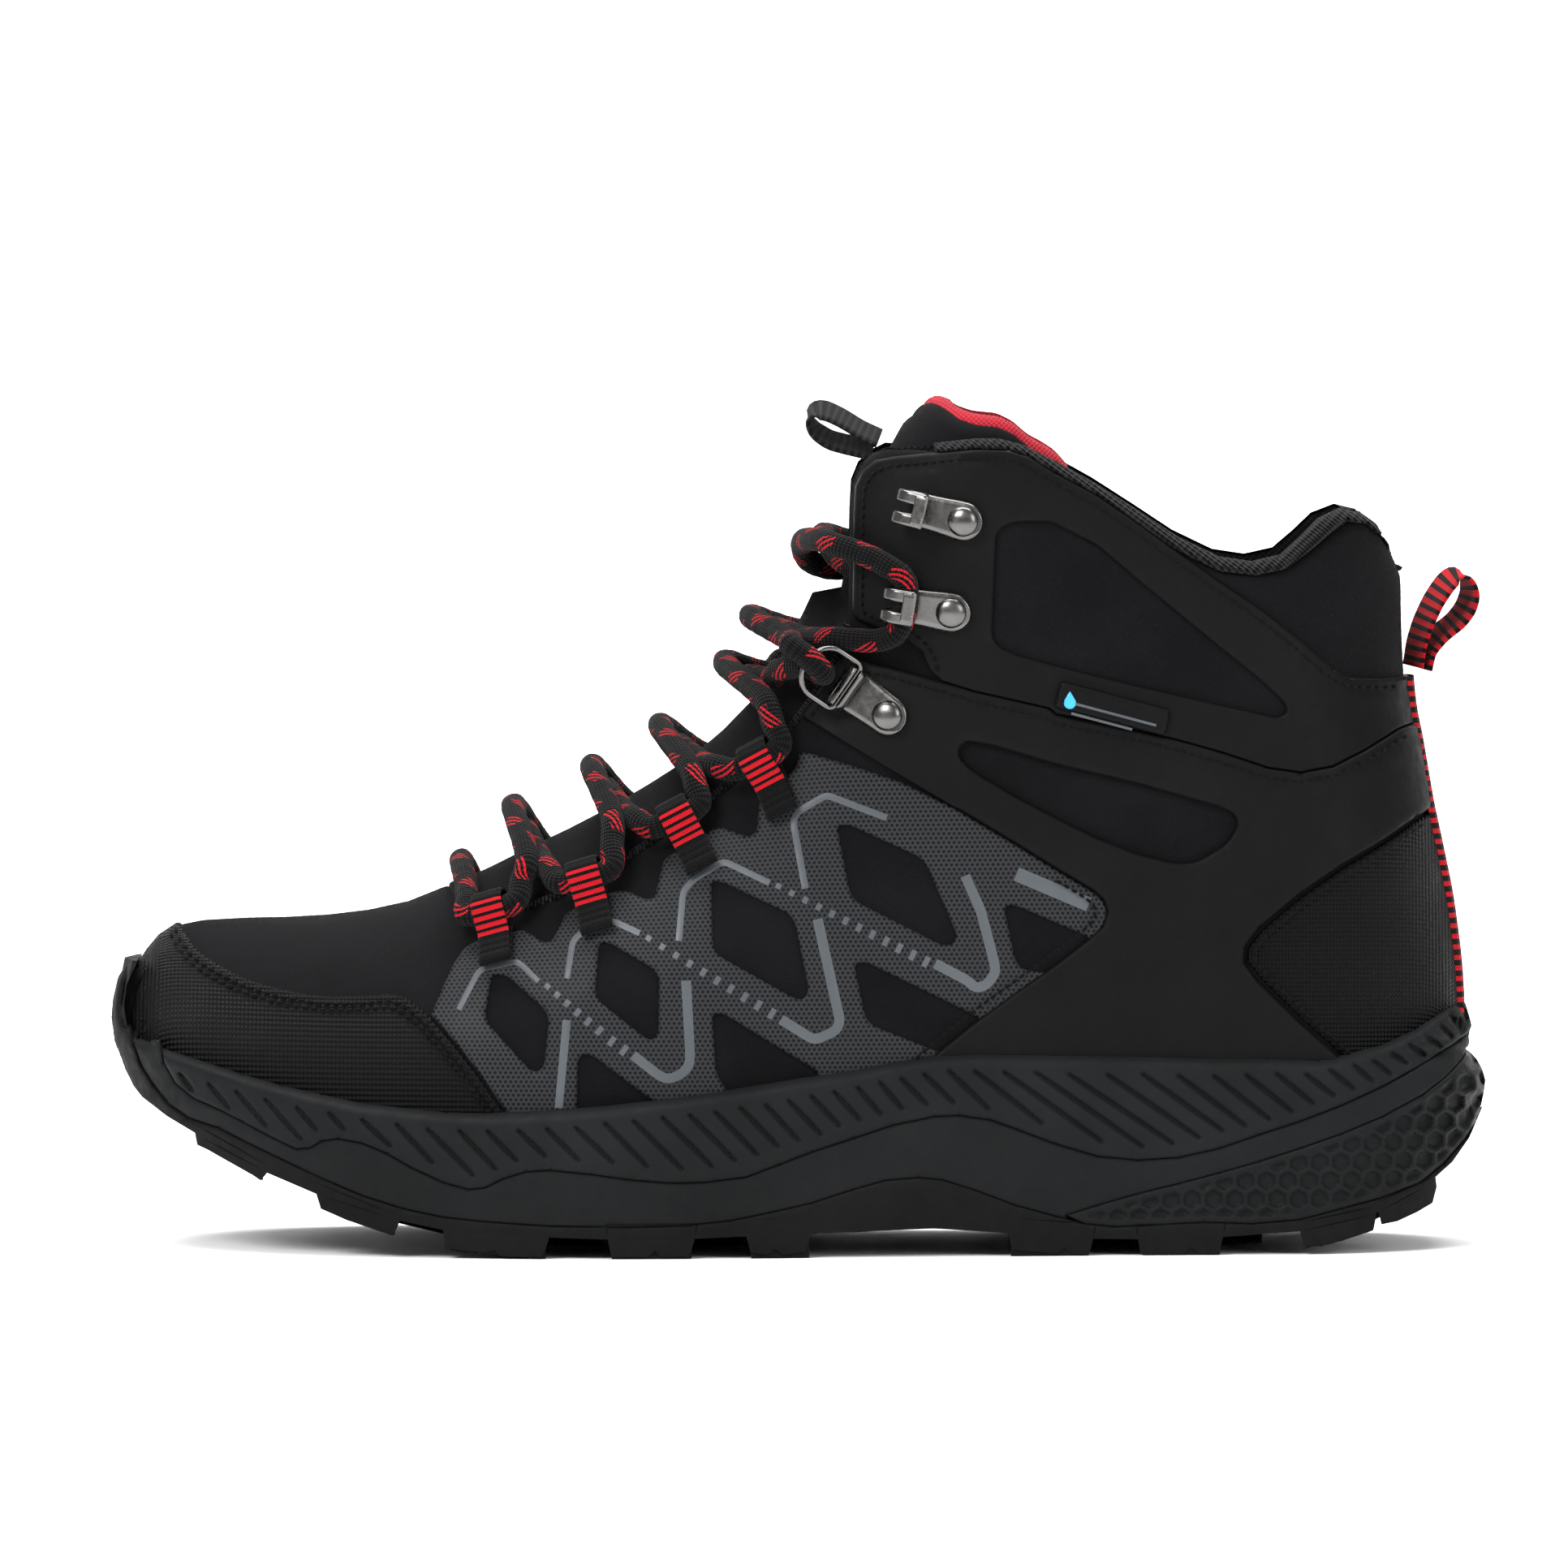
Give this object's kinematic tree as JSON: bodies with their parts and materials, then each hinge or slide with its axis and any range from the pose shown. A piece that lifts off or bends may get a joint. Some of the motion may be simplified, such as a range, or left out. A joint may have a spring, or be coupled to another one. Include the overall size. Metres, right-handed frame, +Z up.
{
  "type": "hiking boot",
  "caption": "Mid-height lace-up hiking boot for the left foot, lugged sole, moulded cage overlays, steel D-rings and hooks, laced shut",
  "frame": {"origin": "middle of the outer box in plan, on the plane of the outsole's lug faces", "axes": "+X from toe to heel, +Z up, -Y the outer (lateral) side of a left boot"},
  "size_m": [0.2997, 0.1182, 0.186],
  "materials": {
    "outsole_rubber": "matte, siped lugs",
    "midsole_foam": "matte moulded foam",
    "midsole_foam_upper": "matte moulded foam with slanted grooves",
    "stabilizer_plastic": "matte, hexagon relief",
    "shank_steel": "plain",
    "board_fibre": "pressed fibre",
    "footbed_fabric": "brushed knit",
    "softshell_fabric": "matte fine weave",
    "lining_fabric": "mesh",
    "stiffener_board": "plain sheet",
    "collar_foam": "open-cell foam",
    "collar_knit": "ribbed knit",
    "toe_cap_rubber": "woven emboss",
    "cage_film": "satin film with fine dots",
    "smooth_overlay": "smooth, low sheen",
    "heel_patch_rubber": "woven emboss",
    "black_webbing": "ribbed webbing",
    "tag": "satin",
    "tongue_fabric": "matte fine weave",
    "red_lining": "brushed",
    "loop_webbing": "webbing with red bars",
    "hardware_steel": "dark polished",
    "lace_cord": "braided with red ticks",
    "aglet_plastic": "gloss",
    "red_webbing": "webbing with red and black bars"
  },
  "bodies": {
    "boot": {"outsole": "outsole_rubber", "midsole_lower": "midsole_foam", "midsole_upper": "midsole_foam_upper", "heel_stabilizer": "stabilizer_plastic", "shank": "shank_steel", "insole_board": "board_fibre", "softshell_upper": "softshell_fabric", "lining": "lining_fabric", "toe_puff": "stiffener_board", "heel_counter": "stiffener_board", "collar_foam": "collar_foam", "tongue_padding": "collar_foam", "collar_band": "collar_knit", "toe_cap": "toe_cap_rubber", "cage_film_lateral": "cage_film", "cage_film_medial": "cage_film", "ankle_overlay_lateral": "smooth_overlay", "ankle_overlay_medial": "smooth_overlay", "eyestay_overlay_lateral": "smooth_overlay", "eyestay_overlay_medial": "smooth_overlay", "heel_patch": "heel_patch_rubber", "backstay_strap": "black_webbing", "side_label": "tag", "tongue": "tongue_fabric", "lace_loop_1_lateral": "loop_webbing", "lace_loop_1_medial": "loop_webbing", "lace_loop_2_lateral": "loop_webbing", "lace_loop_2_medial": "loop_webbing", "lace_loop_3_lateral": "loop_webbing", "lace_loop_3_medial": "loop_webbing", "lace_loop_4_lateral": "loop_webbing", "lace_loop_4_medial": "loop_webbing", "lace_hook_upper_lateral": "hardware_steel", "lace_hook_upper_medial": "hardware_steel", "lace_hook_lower_lateral": "hardware_steel", "lace_hook_lower_medial": "hardware_steel", "hook_rivet_upper_lateral": "hardware_steel", "hook_rivet_upper_medial": "hardware_steel", "hook_rivet_lower_lateral": "hardware_steel", "hook_rivet_lower_medial": "hardware_steel", "d_ring_plate_lateral": "hardware_steel", "d_ring_plate_medial": "hardware_steel", "d_ring_rivet_lateral": "hardware_steel", "d_ring_rivet_medial": "hardware_steel", "lace": "lace_cord", "aglet_one": "aglet_plastic", "aglet_two": "aglet_plastic"},
    "footbed": {"footbed": "footbed_fabric"},
    "d_ring_lateral": {"d_ring_lateral": "hardware_steel"},
    "d_ring_medial": {"d_ring_medial": "hardware_steel"},
    "tongue_collar": {"tongue_top": "tongue_fabric", "tongue_top_lining": "red_lining"},
    "tongue_tab": {"tongue_tab": "black_webbing"},
    "heel_pull_loop": {"heel_pull_loop": "red_webbing"}
  },
  "joints": [
    {"name": "footbed_lift", "type": "hinge", "parent": "boot", "child": "footbed", "pos_m": [-0.13745, -0.00144, 0.031], "axis": [0, -1, 0], "range_deg": [0, 5]},
    {"name": "d_ring_swing_lateral", "type": "hinge", "parent": "boot", "child": "d_ring_lateral", "pos_m": [0.01049, -0.04262, 0.12257], "axis": [-0.5686, 0.0743, -0.8192], "range_deg": [-4, 5]},
    {"name": "d_ring_swing_medial", "type": "hinge", "parent": "boot", "child": "d_ring_medial", "pos_m": [0.01054, 0.03791, 0.12258], "axis": [0.5723, 0.0634, 0.8176], "range_deg": [-4, 5]},
    {"name": "tongue_collar_fold", "type": "hinge", "parent": "boot", "child": "tongue_collar", "pos_m": [0.01255, -0.00144, 0.158], "axis": [0, -1, 0], "range_deg": [0, 15], "stiffness_Nm_per_rad": 0.6},
    {"name": "tongue_tab_lift", "type": "hinge", "parent": "tongue_collar", "child": "tongue_tab", "pos_m": [0.01705, -0.00144, 0.1756], "axis": [0, 1, 0], "range_deg": [0, 30], "stiffness_Nm_per_rad": 0.02},
    {"name": "heel_loop_pull", "type": "hinge", "parent": "boot", "child": "heel_pull_loop", "pos_m": [0.13395, -0.00144, 0.1262], "axis": [0, 1, 0], "range_deg": [0, 30], "stiffness_Nm_per_rad": 0.05}
  ]
}
